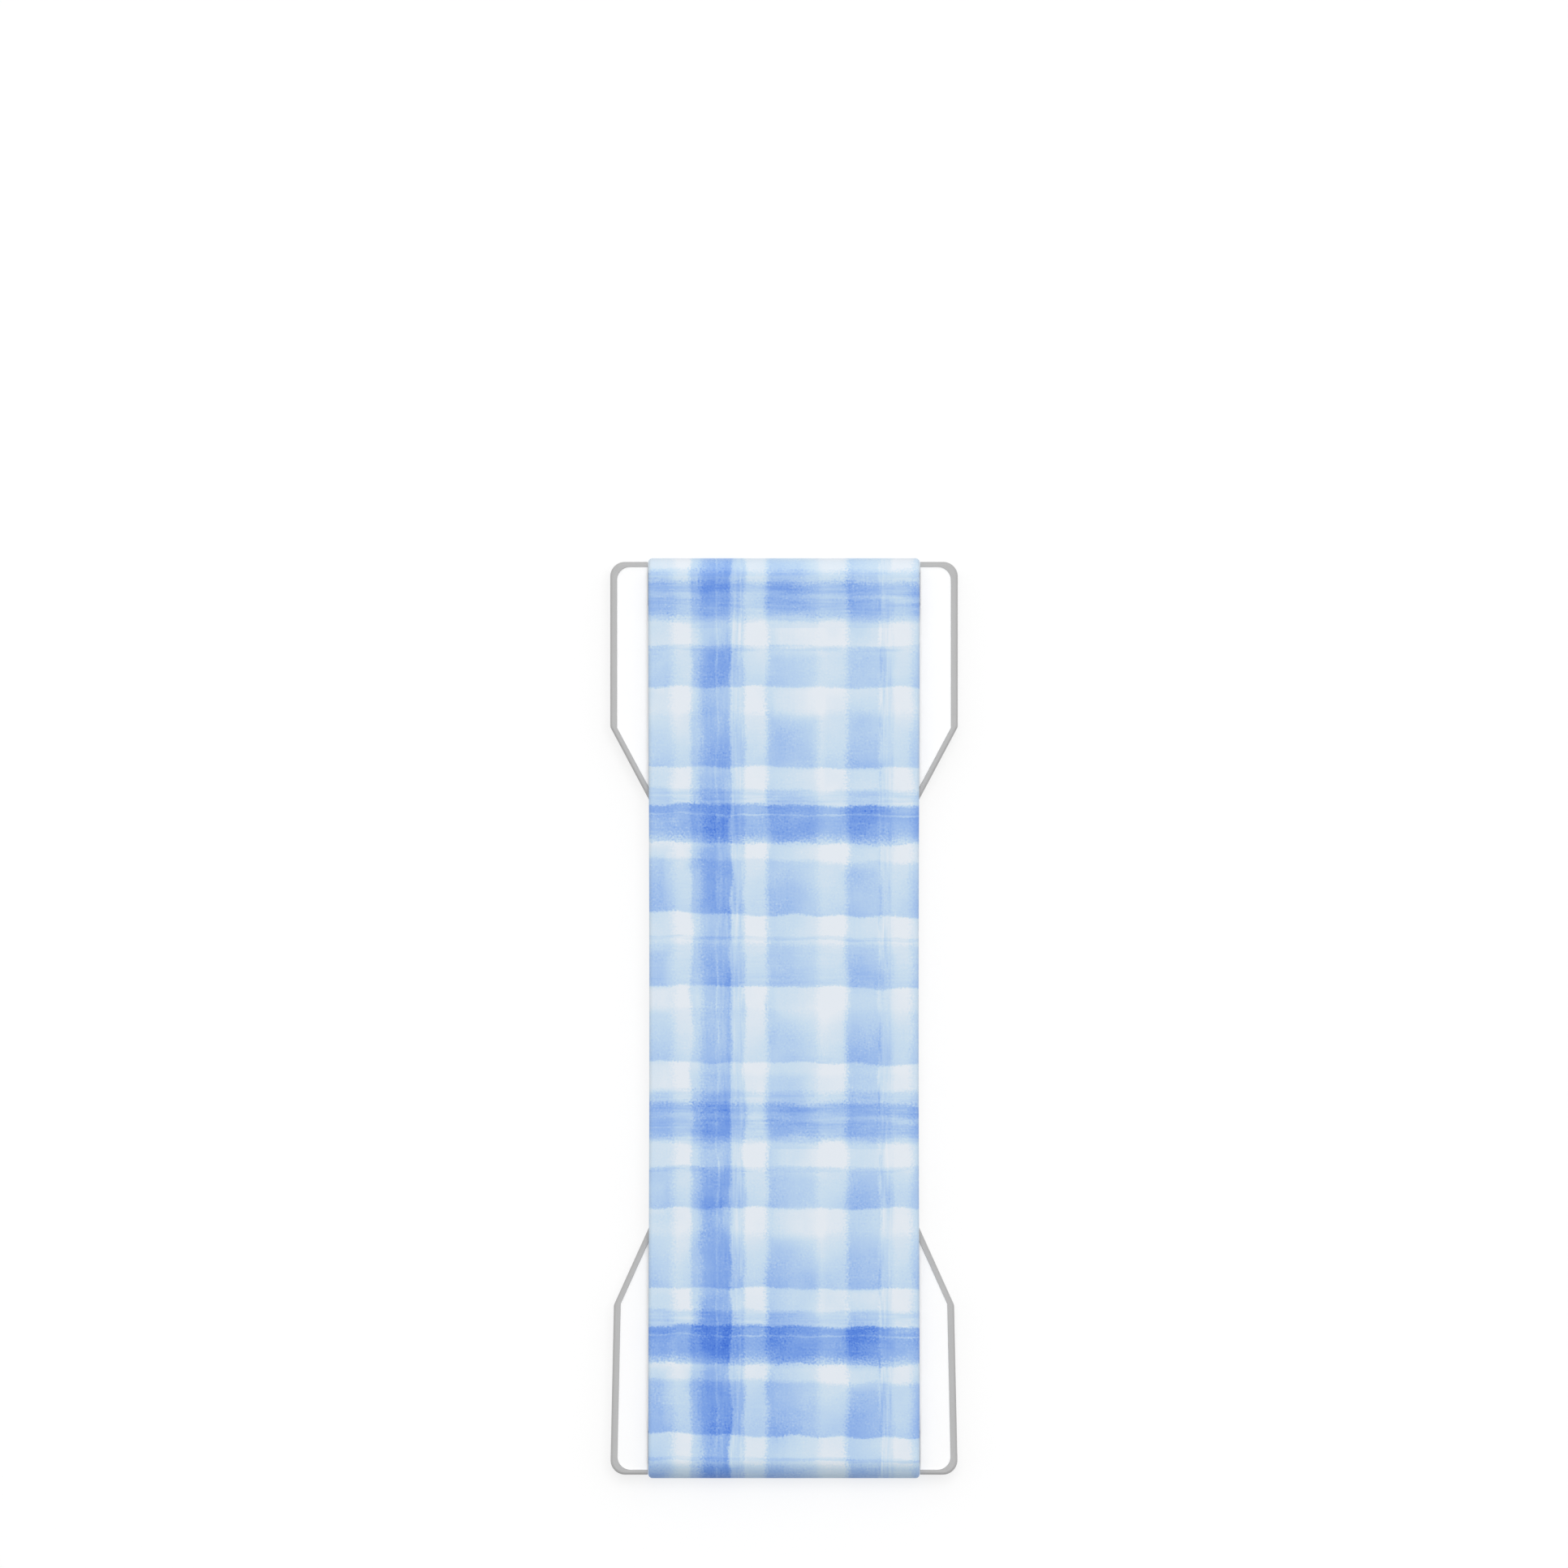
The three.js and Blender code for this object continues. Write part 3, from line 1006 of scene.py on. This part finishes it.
class Sweep:
    """The Geometry Nodes tree that sweeps the band's section along its middle line."""

    PRINT_MAP = "print_map"
    PRINTED = "printed"
    OUTER = "outer"
    TIP = "tip"

    def __init__(self) -> None:
        """Builds the tree."""
        lengths = ("Half Width", "Waist Pull", "Half Length", "Tip Radius", "Edge Radius")
        inputs = {"Geometry": "Geometry", "Section": "Object", **dict.fromkeys(lengths, "Float")}
        inputs["Finish"] = "Material"
        self.tree = new_group("GeometryNodeTree", "band_sweep", inputs, {"Geometry": "Geometry"})
        self.write = TreeWriter(self.tree)
        self.given = self.write.add("NodeGroupInput").outputs
        swept, kept = self.sweep()
        placed = self.place(swept, kept)
        printed = self.store_print(placed, kept)
        write = self.write
        made = write.add("GeometryNodeMergeByDistance", {"Geometry": printed, "Distance": WELD_REACH})
        made = write.add("GeometryNodeSetShadeSmooth", {0: made.outputs[0]})
        made = write.add("GeometryNodeRealizeInstances", {0: made.outputs[0]})
        made = write.add("GeometryNodeSetMaterial", {0: made.outputs[0], "Material": self.given["Finish"]})
        write.add("NodeGroupOutput", {0: made.outputs[0]})

    def capture(
        self, geometry: Socket, items: Mapping[str, tuple[str, Socket]]
    ) -> tuple[Socket, dict[str, Socket]]:
        """Keeps values on a geometry's points for use further on.

        Args:
            geometry: The geometry.
            items: Each value's name, with its type and the value.

        Returns:
            The geometry, and each kept value by name.
        """
        node = self.write.add("GeometryNodeCaptureAttribute", {0: geometry}, domain="POINT")
        for name, (kind, _) in items.items():
            node.capture_items.new(kind, name)
        for name, (_, value) in items.items():
            self.write.feed(node.inputs[name], value)
        return node.outputs[0], {name: node.outputs[name] for name in items}

    def named(self, name: str) -> Socket:
        """Reads a number that the middle line's points carry."""
        node = self.write.add("GeometryNodeInputNamedAttribute", {"Name": name}, data_type="FLOAT")
        return node.outputs["Attribute"]

    def sweep(self) -> tuple[Socket, dict[str, Socket]]:
        """Sweeps the section along the line.

        Returns:
            The swept mesh, and what was kept of the line and of the section at each of its points.
        """
        write = self.write
        line = write.add("GeometryNodeMeshToCurve", {0: self.given["Geometry"]}).outputs[0]
        line, on_line = self.capture(
            line,
            {
                "centre": ("VECTOR", write.add("GeometryNodeInputPosition").outputs[0]),
                "tangent": ("VECTOR", write.add("GeometryNodeInputTangent").outputs[0]),
                "outer": ("FLOAT", self.named(self.OUTER)),
                "tip": ("FLOAT", self.named(self.TIP)),
            },
        )
        drawn = write.add("GeometryNodeObjectInfo", {0: self.given["Section"]}).outputs["Geometry"]
        section = write.add("GeometryNodeMeshToCurve", {0: drawn}).outputs[0]
        section, on_section = self.capture(
            section, {"drawn": ("VECTOR", write.add("GeometryNodeInputPosition").outputs[0])}
        )
        mesh = write.add("GeometryNodeCurveToMesh", {"Curve": line, "Profile Curve": section})
        return mesh.outputs[0], {**on_line, **on_section}

    def place(self, mesh: Socket, kept: Mapping[str, Socket]) -> Socket:
        """Sets each point from the line and the section, with the sides drawn in and the ends rounded.

        Args:
            mesh: The swept mesh.
            kept: What was kept of the line and of the section.

        Returns:
            The placed mesh.
        """
        write, given = self.write, self.given
        drawn, centre = write.parts(kept["drawn"]), write.parts(kept["centre"])
        past = write.math("DIVIDE", kept["tip"], given["Tip Radius"])
        squared = write.math("MULTIPLY", past, past)
        thin = write.math("SQRT", write.math("MAXIMUM", write.math("SUBTRACT", 1.0, squared), 0.0))
        away = write.math("DIVIDE", write.math("ABSOLUTE", centre["Y"]), given["Half Length"])
        turn = write.math("MULTIPLY", write.math("MINIMUM", away, 1.0), math.pi)
        wave = write.math("MULTIPLY_ADD", write.math("COSINE", turn), 0.5, 0.5)
        end = write.math("MULTIPLY", write.math("SUBTRACT", 1.0, thin), given["Edge Radius"])
        pulled = write.math("MULTIPLY_ADD", wave, given["Waist Pull"], end)
        share = write.math("SUBTRACT", 1.0, write.math("DIVIDE", pulled, given["Half Width"]))
        side = write.joined(X=write.math("MULTIPLY", drawn["X"], share))
        outward = write.vector("CROSS_PRODUCT", (1.0, 0.0, 0.0), kept["tangent"])
        rise = write.scaled(write.vector("NORMALIZE", outward), write.math("MULTIPLY", drawn["Y"], thin))
        spot = write.vector("ADD", write.vector("ADD", kept["centre"], side), rise)
        return write.add("GeometryNodeSetPosition", {0: mesh, "Position": spot}).outputs[0]

    def store_print(self, mesh: Socket, kept: Mapping[str, Socket]) -> Socket:
        """Stores where the print goes: a map in millimetres, and how much of it each point takes.

        Args:
            mesh: The placed mesh.
            kept: What was kept of the line and of the section.

        Returns:
            The mesh with its map and its mask.
        """
        write = self.write
        drawn = write.parts(kept["drawn"])
        spot = write.joined(X=write.math("DIVIDE", drawn["X"], MM), Y=kept["outer"])
        face = write.ramp_between(drawn["Y"], *(place * MM for place in PRINT_FADE), smooth=True)
        for name, value, kind, domain in (
            (self.PRINT_MAP, spot, "FLOAT2", "CORNER"),
            (self.PRINTED, face, "FLOAT", "POINT"),
        ):
            feeds = {0: mesh, "Name": name, "Value": value}
            stored = write.add("GeometryNodeStoreNamedAttribute", feeds, data_type=kind, domain=domain)
            mesh = stored.outputs[0]
        return mesh

    def apply(self, piece: bpy.types.Object, inputs: Mapping[str, Feed]) -> None:
        """Runs the tree on a piece and keeps the result as its plain mesh.

        Args:
            piece: The piece that holds the middle line.
            inputs: What each of the tree's named inputs takes.
        """
        modifier = piece.modifiers.new("sweep", "NODES")
        modifier.node_group = self.tree
        for item in self.tree.interface.items_tree:
            if item.in_out == "INPUT" and item.name in inputs:
                modifier[item.identifier] = inputs[item.name]
        bake_modifiers(piece)


@dataclass
class StrapMoulding:
    """The silicone band and its two hooks, as one moulding."""

    hooks: HookSizes
    finish: PlaidPrint
    edge_radius: float = 0.45
    waist_pull: float = 0.12
    fold_steps: int = 44
    turn_steps: int = 16
    tip_steps: int = 9
    row_length: float = 1.0
    edge_steps: int = 8
    half_length: float = field(init=False)
    half_width: float = field(init=False)

    def __post_init__(self) -> None:
        """Takes the strap's length and width from the frame."""
        _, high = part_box("strap")
        self.half_width = high[0] / MM
        self.half_length = high[1] / MM

    def half_line(self) -> list[PathPoint]:
        """Lists the middle line from the middle of the band to the end of the upper hook.

        Returns:
            The points of the line.
        """
        hooks = self.hooks
        middle, outer = hooks.middle_radius, hooks.outer_radius
        fold_y = self.half_length - outer
        turn_y = fold_y + hooks.bar_thickness - hooks.bar_width
        points = []
        rows = round(fold_y / self.row_length)
        for row in range(rows):
            y = fold_y * row / rows
            points.append(PathPoint(y, hooks.bar_z + middle, y))
        for step in range(self.fold_steps + 1):
            angle = math.pi * step / self.fold_steps
            y, z = fold_y + middle * math.sin(angle), hooks.bar_z + middle * math.cos(angle)
            points.append(PathPoint(y, z, fold_y + outer * angle))
        under = fold_y + outer * math.pi
        straight = fold_y - turn_y
        for part in (0.25, 0.5, 0.75):
            points.append(PathPoint(fold_y - straight * part, hooks.bar_z - middle, under + straight * part))
        turn = math.radians(hooks.turn_angle)
        for step in range(self.turn_steps + 1):
            angle = turn * step / self.turn_steps
            y, z = turn_y - middle * math.sin(angle), hooks.bar_z - middle * math.cos(angle)
            points.append(PathPoint(y, z, under + straight + outer * angle))
        last = points[-1]
        for sine, _ in quarter(self.tip_steps)[1:]:
            past = hooks.band_thickness / 2 * sine
            y, z = last.y - past * math.cos(turn), last.z + past * math.sin(turn)
            points.append(PathPoint(y, z, last.outer + past, past))
        return points

    def middle_line(self) -> bpy.types.Mesh:
        """Draws the whole middle line, from the lower hook's end to the upper one's.

        Returns:
            The line, whose points carry what the sweep reads.
        """
        upper = self.half_line()
        lower = [PathPoint(-p.y, p.z, -p.outer, p.tip) for p in reversed(upper[1:])]
        points = [*lower, *upper]
        mesh = bpy.data.meshes.new("middle_line")
        edges = [(i, i + 1) for i in range(len(points) - 1)]
        mesh.from_pydata([(0.0, p.y * MM, p.z * MM) for p in points], edges, [])
        outer, tip = (mesh.attributes.new(name, "FLOAT", "POINT") for name in (Sweep.OUTER, Sweep.TIP))
        for number, point in enumerate(points):
            outer.data[number].value = point.outer
            tip.data[number].value = point.tip * MM
        return mesh

    def section(self) -> bpy.types.Object:
        """Draws the band's section: flat, with rounded edges and a point about each millimetre.

        Returns:
            The section as an object that the sweep can read.
        """
        half_thick = self.hooks.band_thickness / 2
        flat_x = self.half_width - self.edge_radius
        flat_y = half_thick - self.edge_radius
        columns = round(2 * flat_x / self.row_length)
        turns = quarter(self.edge_steps)
        corner = [(flat_x + self.edge_radius * c, flat_y + self.edge_radius * s) for s, c in turns]
        face = [(flat_x - 2 * flat_x * column / columns, half_thick) for column in range(1, columns)]
        half_turn = [*corner, *face, *((-x, y) for x, y in reversed(corner))]
        points = half_turn + [(-x, -y) for x, y in half_turn]
        mesh = bpy.data.meshes.new("section")
        edges = [(i, (i + 1) % len(points)) for i in range(len(points))]
        mesh.from_pydata([(x * MM, y * MM, 0.0) for x, y in points], edges, [])
        return new_object("section", mesh)

    def build(self) -> bpy.types.Object:
        """Builds and dresses the strap.

        Returns:
            The strap, which stands for the frame's own.
        """
        strap = new_object("printed_strap", self.middle_line())
        section = self.section()
        inputs = {
            "Section": section,
            "Half Width": self.half_width * MM,
            "Waist Pull": self.waist_pull * MM,
            "Half Length": (self.half_length - self.hooks.outer_radius) * MM,
            "Tip Radius": self.hooks.band_thickness / 2 * MM,
            "Edge Radius": self.edge_radius * MM,
            "Finish": self.finish.material(),
        }
        Sweep().apply(strap, inputs)
        bpy.data.objects.remove(section)
        turn_outwards(strap)
        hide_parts("strap")
        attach(strap, BODY)
        return strap


def turn_outwards(piece: bpy.types.Object) -> None:
    """Turns all of a closed piece's faces outwards."""
    with edited(piece.data):
        pass


# The base plate and the pad


@dataclass
class BasePlate:
    """The moulded plate: a dog bone with a raised rim, and a crossbar between the ears at each end."""

    hooks: HookSizes
    white: MouldedFinish
    grey: MouldedFinish
    upper_ear_length: float = 18.2
    lower_ear_length: float = 18.7
    lower_ear_flare: float = 0.4
    upper_taper: float = 28.0
    lower_taper: float = 24.3
    waist_half_width: float = 12.05
    ear_radius: float = 1.6
    shoulder_radius: float = 0.8
    waist_radius: float = 4.0
    edge_radius: float = 0.3
    rim_height: float = 0.15
    rim_widths: dict[Side, float] = field(
        default_factory=lambda: {Side.EAR: 0.75, Side.END: 0.55, Side.TAPER: 0.63, Side.WAIST: 0.63}
    )
    rim_edge: float = 0.05
    rim_corner_radius: float = 1.45
    bar_root: float = 0.75
    side_gap: float = 0.05
    slot_gap: float = 0.4
    slot_radius: float = 0.6
    pad_recess: float = 0.3
    skirt: float = 0.8
    corner_steps: int = 12
    edge_steps: int = 5
    lip_steps: int = 3
    support: float = 0.05
    past_cut: float = 1.0
    past_end: float = 3.0
    seat_radius: float = 0.6
    bevel: float = 0.07

    def __post_init__(self) -> None:
        """Takes the plate's outer sizes and the strap's width from the frame."""
        low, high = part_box("base_plate")
        self.half_width, self.half_length, self.top = (value / MM for value in high)
        self.bottom = low[2] / MM
        _, strap_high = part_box("strap")
        self.window_x = strap_high[0] / MM + self.side_gap
        self.fold_y = strap_high[1] / MM - self.hooks.outer_radius
        self.turn_y = self.fold_y + self.hooks.bar_thickness - self.hooks.bar_width
        self.slot_y = self.turn_y - self.hooks.outer_radius - self.slot_gap

    def end_corners(self, ear_length: float, flare: float, taper: float) -> list[Corner]:
        """Lists the outline's corners at an upper end, from the right of the waist to its left.

        Args:
            ear_length: How long the ears are.
            flare: How much narrower they are at the shoulder than at the end, each side.
            taper: The angle between the taper and the strap's length, in degrees.

        Returns:
            The corners.
        """
        shoulder_x = self.half_width - flare
        shoulder_y = self.half_length - ear_length
        waist_y = shoulder_y - (shoulder_x - self.waist_half_width) / math.tan(math.radians(taper))
        return [
            Corner(self.waist_half_width, waist_y, self.waist_radius, Side.TAPER),
            Corner(shoulder_x, shoulder_y, self.shoulder_radius, Side.EAR),
            Corner(self.half_width, self.half_length, self.ear_radius, Side.END),
            Corner(-self.half_width, self.half_length, self.ear_radius, Side.EAR),
            Corner(-shoulder_x, shoulder_y, self.shoulder_radius, Side.TAPER),
            Corner(-self.waist_half_width, waist_y, self.waist_radius, Side.WAIST),
        ]

    def outline(self) -> list[Corner]:
        """Lists the corners of the whole dog bone, anticlockwise.

        Returns:
            The corners.
        """
        upper = self.end_corners(self.upper_ear_length, 0.0, self.upper_taper)
        lower = self.end_corners(self.lower_ear_length, self.lower_ear_flare, self.lower_taper)
        return [*upper, *(Corner(-c.x, -c.y, c.radius, c.side) for c in lower)]

    def ring(self, z: float, inset: float, from_rim: bool = False, finish: int = 0) -> Ring:
        """Makes a ring of the plate's body.

        Args:
            z: Its height.
            inset: How far it lies inside the outline or inside the rim's inner edge.
            from_rim: Whether it follows the rim's inner edge.
            finish: The finish of the band up to the next ring.

        Returns:
            The ring.
        """
        if from_rim:
            corners = [
                replace(c, radius=self.rim_corner_radius) if outer.radius == self.ear_radius else c
                for outer, c in zip(self.outline(), offset_corners(self.outline(), self.rim_widths.get))
            ]
        else:
            corners = self.outline()
        corners = offset_corners(corners, lambda side: inset)
        return Ring(rounded_points(corners, self.corner_steps), z, finish)

    def body_rings(self) -> list[Ring]:
        """Lists the rings of the plate's body, from its underside round its wall and over its rim.

        Returns:
            The rings.
        """
        edge, near = self.edge_radius, self.support
        floor = self.top - self.rim_height
        rings = [self.ring(self.bottom, edge + near)]
        for sine, cosine in quarter(self.edge_steps):
            rings.append(self.ring(self.bottom + edge * (1 - cosine), edge * (1 - sine), finish=1))
        rings.append(self.ring(self.bottom + edge + near, 0.0, finish=1))
        rings.append(self.ring(self.top - edge - near, 0.0, finish=1))
        for sine, cosine in quarter(self.edge_steps):
            rings.append(self.ring(self.top - edge * (1 - sine), edge * (1 - cosine), finish=1))
        lip = self.rim_edge
        for sine, cosine in quarter(self.lip_steps):
            rings.append(self.ring(self.top - lip * (1 - cosine), -lip * (1 - sine), True, finish=1))
        for sine, cosine in quarter(self.lip_steps):
            rings.append(self.ring(floor + lip * (1 - sine), lip * (1 - cosine), True, finish=0))
        rings.append(self.ring(floor, lip + near, True))
        return rings

    def window_cutter(self, end: int, margin: float, low: float, high: float) -> bpy.types.Object:
        """Makes the solid that opens one end of the plate between its ears.

        Args:
            end: 1 for the upper end and -1 for the lower.
            margin: How far it is grown.
            low: The height of its underside.
            high: The height of its top.

        Returns:
            The cutter.
        """
        x, near, far = self.window_x + margin, self.slot_y - margin, self.half_length + self.past_end
        radius = self.slot_radius
        corners = [
            Corner(-x, near, radius, Side.END),
            Corner(x, near, radius, Side.EAR),
            Corner(x, far, radius, Side.END),
            Corner(-x, far, radius, Side.EAR),
        ]
        if end < 0:
            corners = [Corner(-c.x, -c.y, c.radius, c.side) for c in corners]
        points = rounded_points(corners, self.corner_steps)
        return loft("window", [Ring(points, low), Ring(points, high)])

    def region(
        self, name: str, inset: float, corner_radius: float, low: float, high: float
    ) -> bpy.types.Object:
        """Makes what lies under the plate inside its skirt and clear of the windows.

        Args:
            name: The object's name.
            inset: How far it lies inside the plate's outline.
            corner_radius: The radius of its outer corners.
            low: The height of its underside.
            high: The height of its top.

        Returns:
            The solid.
        """
        corners = [
            replace(c, radius=corner_radius) if c.radius < self.shoulder_radius else c
            for c in offset_corners(self.outline(), lambda side: inset)
        ]
        points = rounded_points(corners, self.corner_steps)
        made = loft(name, [Ring(points, low), Ring(points, high)])
        for end in (1, -1):
            cutter = self.window_cutter(end, inset, low - self.past_cut, high + self.past_cut)
            combine(made, cutter, "DIFFERENCE")
        return made

    def crossbar(self, end: int) -> bpy.types.Object:
        """Makes the bar that a hook turns on, rooted in both ears.

        Args:
            end: 1 for the upper end and -1 for the lower.

        Returns:
            The bar.
        """
        half = self.hooks.bar_thickness / 2
        steps = 2 * self.corner_steps
        section = []
        for centre, start in ((self.fold_y, -math.pi / 2), (self.turn_y, math.pi / 2)):
            for step in range(steps + 1):
                angle = start + math.pi * step / steps
                y, z = end * (centre + half * math.cos(angle)), self.hooks.bar_z + half * math.sin(angle)
                section.append(Vector((y, z)))
        reach = self.window_x + self.bar_root
        return loft("crossbar", [Ring(section, -reach), Ring(section, reach)], axes=(2, 0, 1))

    def build(self) -> bpy.types.Object:
        """Builds and dresses the plate.

        Returns:
            The plate, which stands for the frame's own.
        """
        finishes = [self.white.material(), self.grey.material()]
        plate = loft("moulded_base_plate", self.body_rings(), finishes)
        under, over = self.bottom - self.past_cut, self.top + self.past_cut
        seat = self.region("seat", self.skirt, self.seat_radius, under, self.bottom + self.pad_recess)
        combine(plate, seat, "DIFFERENCE")
        for end in (1, -1):
            combine(plate, self.window_cutter(end, 0.0, under, over), "DIFFERENCE")
        for end in (1, -1):
            combine(plate, self.crossbar(end), "UNION")
        clean_mesh(plate)
        finish_edges(plate, self.bevel)
        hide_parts("base_plate")
        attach(plate, BODY)
        return plate


@dataclass(frozen=True)
class FoamFinish:
    """Closed-cell foam, whose cells show as fine pits all over, rougher in the pits than between them."""

    name: str = "adhesive_foam"
    colour: tuple[int, int, int] = (214, 216, 218)
    cell_size: float = 0.14
    cell_rim: float = 0.6
    pit_depth: float = 0.03
    pit_shade: float = 0.85
    pit_roughness: float = 0.9
    roughness: float = 0.6

    def material(self) -> bpy.types.Material:
        """Builds the material.

        Returns:
            A pale foam whose cells show as fine pits.
        """
        material, write, shader = new_material(self.name)
        place = write.add("ShaderNodeTexCoord").outputs["Object"]
        cells = write.add("ShaderNodeTexVoronoi", {"Vector": place, "Scale": 1 / (self.cell_size * MM)})
        pits = write.ramp_between(cells.outputs["Distance"], 0.0, self.cell_rim, smooth=True)
        feeds = {"Strength": 1.0, "Distance": self.pit_depth * MM, "Height": pits}
        base = linear(*self.colour)
        write.feed(shader.inputs["Base Color"], write.blend(pits, shaded(base, self.pit_shade), base))
        rough = write.ramp_between(pits, 0.0, 1.0, self.pit_roughness, self.roughness)
        write.feed(shader.inputs["Roughness"], rough)
        write.feed(shader.inputs["Normal"], write.add("ShaderNodeBump", feeds).outputs["Normal"])
        return material


@dataclass
class AdhesivePad:
    """The die-cut foam pad in the plate's recess."""

    plate: BasePlate
    finish: FoamFinish
    gap: float = 0.2
    corner_radius: float = 0.6
    bevel: float = 0.06

    def build(self) -> bpy.types.Object:
        """Builds and dresses the pad.

        Returns:
            The pad, which stands for the frame's own.
        """
        low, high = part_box("adhesive_pad")
        inset = self.plate.skirt + self.gap
        pad = self.plate.region("foam_pad", inset, self.corner_radius, low[2] / MM, high[2] / MM)
        clean_mesh(pad)
        pad.data.materials.clear()
        pad.data.materials.append(self.finish.material())
        finish_edges(pad, self.bevel)
        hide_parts("adhesive_pad")
        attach(pad, BODY)
        return pad


# The studio

SQUARE = ((-1, -1), (1, -1), (1, 1), (-1, 1))


@dataclass
class Studio:
    """A pale floor, soft light and a camera straight above, framed as the photograph is.

    Lengths are in metres apart from the lens, the sensor and floor_z. Each shade gives two directions
    and the brightness of the surround at each.
    """

    frame_width: float = 0.17285
    frame_height: float = 0.00245
    centre_y: float = 0.02582
    lens: float = 600.0
    sensor: float = 36.0
    view_reach: float = 20.0
    floor_reach: float = 4.0
    floor_z: float = -0.02
    floor_colour: tuple[int, int, int] = (150, 150, 150)
    floor_roughness: float = 0.9
    floor_shine: float = 0.1
    floor_glow: float = 0.69
    world_strength: float = 0.96
    shade_along: tuple[float, float, float, float] = (-0.8, 0.1, 0.2, 1.0)
    shade_above: tuple[float, float, float, float] = (0.0, 0.7, 0.5, 1.0)
    key_strength: float = 8.0
    key_size: float = 0.9
    key_place: tuple[float, float, float] = (0.1, 0.3, 1.4)

    def camera(self) -> None:
        """Hangs the camera above the strap, with the strap's length up the picture."""
        data = bpy.data.cameras.new("camera")
        data.lens = self.lens
        data.sensor_width = self.sensor
        data.clip_end = self.view_reach
        camera = bpy.data.objects.new("camera", data)
        distance = self.frame_width * self.lens / self.sensor
        camera.location = (0.0, self.centre_y, self.frame_height + distance)
        bpy.context.scene.collection.objects.link(camera)
        bpy.context.scene.camera = camera

    def floor(self) -> None:
        """Lays the floor."""
        corners = [(x * self.floor_reach, y * self.floor_reach, self.floor_z * MM) for x, y in SQUARE]
        mesh = bpy.data.meshes.new("floor")
        mesh.from_pydata(corners, [], [(0, 1, 2, 3)])
        material, _, shader = new_material("floor")
        shader.inputs["Base Color"].default_value = linear(*self.floor_colour)
        shader.inputs["Roughness"].default_value = self.floor_roughness
        shader.inputs["Specular IOR Level"].default_value = self.floor_shine
        shader.inputs["Emission Color"].default_value = (1.0, 1.0, 1.0, 1.0)
        shader.inputs["Emission Strength"].default_value = self.floor_glow
        mesh.materials.append(material)
        new_object("floor", mesh)

    def lights(self) -> None:
        """Sets a white surround, darker towards the strap's lower end and low down, and a broad light."""
        world = bpy.data.worlds.new("surround")
        world.use_nodes = True
        background = world.node_tree.nodes["Background"]
        background.inputs["Color"].default_value = (1.0, 1.0, 1.0, 1.0)
        write = TreeWriter(world.node_tree)
        towards = write.parts(write.add("ShaderNodeTexCoord").outputs["Generated"])
        along = write.ramp_between(towards["Y"], *self.shade_along, smooth=True)
        above = write.ramp_between(towards["Z"], *self.shade_above, smooth=True)
        lit = write.math("MULTIPLY", along, above)
        write.feed(background.inputs["Strength"], write.math("MULTIPLY", lit, self.world_strength))
        bpy.context.scene.world = world
        data = bpy.data.lights.new("key", "AREA")
        data.shape = "DISK"
        data.size = self.key_size
        data.energy = self.key_strength
        key = bpy.data.objects.new("key", data)
        key.location = self.key_place
        key.rotation_euler = (-key.location).to_track_quat("-Z", "Y").to_euler()
        bpy.context.scene.collection.objects.link(key)

    def build(self) -> None:
        """Sets up the whole studio and plain screen colours."""
        bpy.context.scene.view_settings.view_transform = "Standard"
        self.camera()
        self.floor()
        self.lights()


def main() -> None:
    """Builds each piece in order and reports it."""
    logging.basicConfig(level=logging.INFO, format="%(name)s: %(message)s")
    hooks = HookSizes()
    Studio().build()
    white = MouldedFinish("plate_white", (248, 248, 248), 0.45, 0.1, 0.003)
    grey = MouldedFinish("rim_grey", (176, 176, 176), 0.45, 0.1, 0.003)
    plate = BasePlate(hooks, white, grey)
    for part in (StrapMoulding(hooks, PlaidPrint()), plate, AdhesivePad(plate, FoamFinish())):
        piece = part.build()
        LOG.info("%s: %d faces", piece.name, len(piece.data.polygons))


if __name__ == "__main__":
    main()
